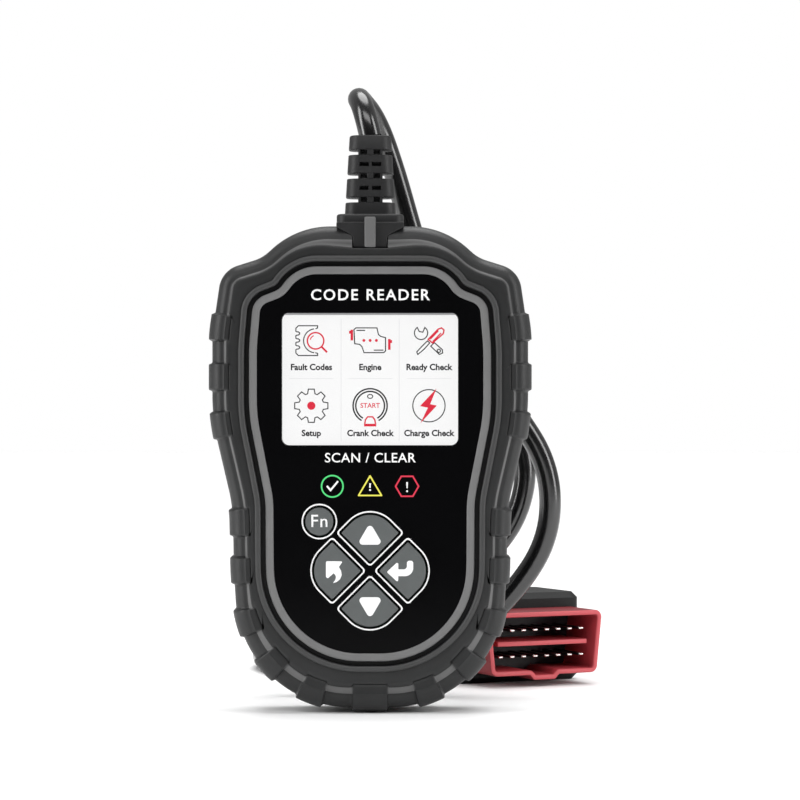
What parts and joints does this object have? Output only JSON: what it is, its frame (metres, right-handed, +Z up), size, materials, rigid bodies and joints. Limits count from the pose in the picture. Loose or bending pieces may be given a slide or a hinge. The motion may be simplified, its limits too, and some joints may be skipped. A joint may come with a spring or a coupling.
{
  "type": "obd code reader",
  "caption": "Handheld vehicle diagnostic code reader with a ribbed rubber boot, colour screen, fan-shaped keys and a lead to a multi-pin plug.",
  "frame": {"origin": "bottom centre of the reader's body, on the surface it stands on; the lead and plug aside", "axes": "+Z up along the body, +X to the right seen from the face, -Y out of the face"},
  "size_m": [0.1157, 0.1783, 0.1767],
  "materials": {
    "boot_rubber": "soft matte moulded rubber",
    "case_plastic": "fine matte",
    "screw_steel": "plated",
    "trim_gray": "satin",
    "panel_gloss": "high gloss",
    "lens_clear": "clear window",
    "can_steel": "stamped sheet",
    "diffuser_white": "matte",
    "screen_glass": "display glass",
    "foam_black": "closed-cell foam",
    "flex_film": "amber film",
    "silicone_gray": "matte silicone",
    "switch_black": "moulded",
    "key_gray": "satin silicone",
    "board_green": "solder mask",
    "led_clear": "clear",
    "chip_black": "moulded",
    "housing_ivory": "moulded",
    "wire_coating": "smooth",
    "cord_vinyl": "glossy flexible vinyl",
    "relief_vinyl": "satin flexible vinyl",
    "plug_red": "satin moulded",
    "pin_tin": "tin plated",
    "hood_black": "fine texture"
  },
  "bodies": {
    "root": {"rubber_boot": "boot_rubber", "front_case": "case_plastic", "back_case": "case_plastic", "case_screws": "screw_steel", "bezel_trim": "trim_gray", "front_panel": "panel_gloss", "display_lens": "lens_clear", "lcd_frame": "can_steel", "lcd_backlight": "diffuser_white", "lcd_glass": "screen_glass", "lcd_foam": "foam_black", "lcd_flex": "flex_film", "keypad_mat": "silicone_gray", "key_switches": "switch_black", "main_board": "board_green", "board_screws": "screw_steel", "led_green": "led_clear", "led_yellow": "led_clear", "led_red": "led_clear", "led_shroud": "diffuser_white", "microcontroller": "chip_black", "can_transceiver": "chip_black", "line_driver": "chip_black", "crystal": "can_steel", "capacitors": "can_steel", "board_header": "housing_ivory", "wire_housing": "housing_ivory", "lead_wires": "wire_coating", "sheath_end": "cord_vinyl", "strain_relief": "relief_vinyl", "cord_lead": "cord_vinyl", "plug_shroud": "plug_red", "plug_divider": "plug_red", "plug_insert": "case_plastic", "upper_pins": "pin_tin", "lower_pins": "pin_tin", "plug_cover_lower": "hood_black", "plug_cover_upper": "hood_black", "plug_screws": "screw_steel", "plug_strain_relief": "relief_vinyl"},
    "fn": {"fn_key": "key_gray", "fn_plunger": "switch_black"},
    "up": {"up_key": "key_gray", "up_plunger": "switch_black"},
    "down": {"down_key": "key_gray", "down_plunger": "switch_black"},
    "back": {"back_key": "key_gray", "back_plunger": "switch_black"},
    "enter": {"enter_key": "key_gray", "enter_plunger": "switch_black"}
  },
  "joints": [
    {"name": "fn_press", "type": "slide", "parent": "root", "child": "fn", "axis": [0, 1, 0], "range_m": [0, 0.0005], "stiffness_N_per_m": 500},
    {"name": "up_press", "type": "slide", "parent": "root", "child": "up", "axis": [0, 1, 0], "range_m": [0, 0.0005], "stiffness_N_per_m": 500},
    {"name": "down_press", "type": "slide", "parent": "root", "child": "down", "axis": [0, 1, 0], "range_m": [0, 0.0005], "stiffness_N_per_m": 500},
    {"name": "back_press", "type": "slide", "parent": "root", "child": "back", "axis": [0, 1, 0], "range_m": [0, 0.0005], "stiffness_N_per_m": 500},
    {"name": "enter_press", "type": "slide", "parent": "root", "child": "enter", "axis": [0, 1, 0], "range_m": [0, 0.0005], "stiffness_N_per_m": 500}
  ]
}
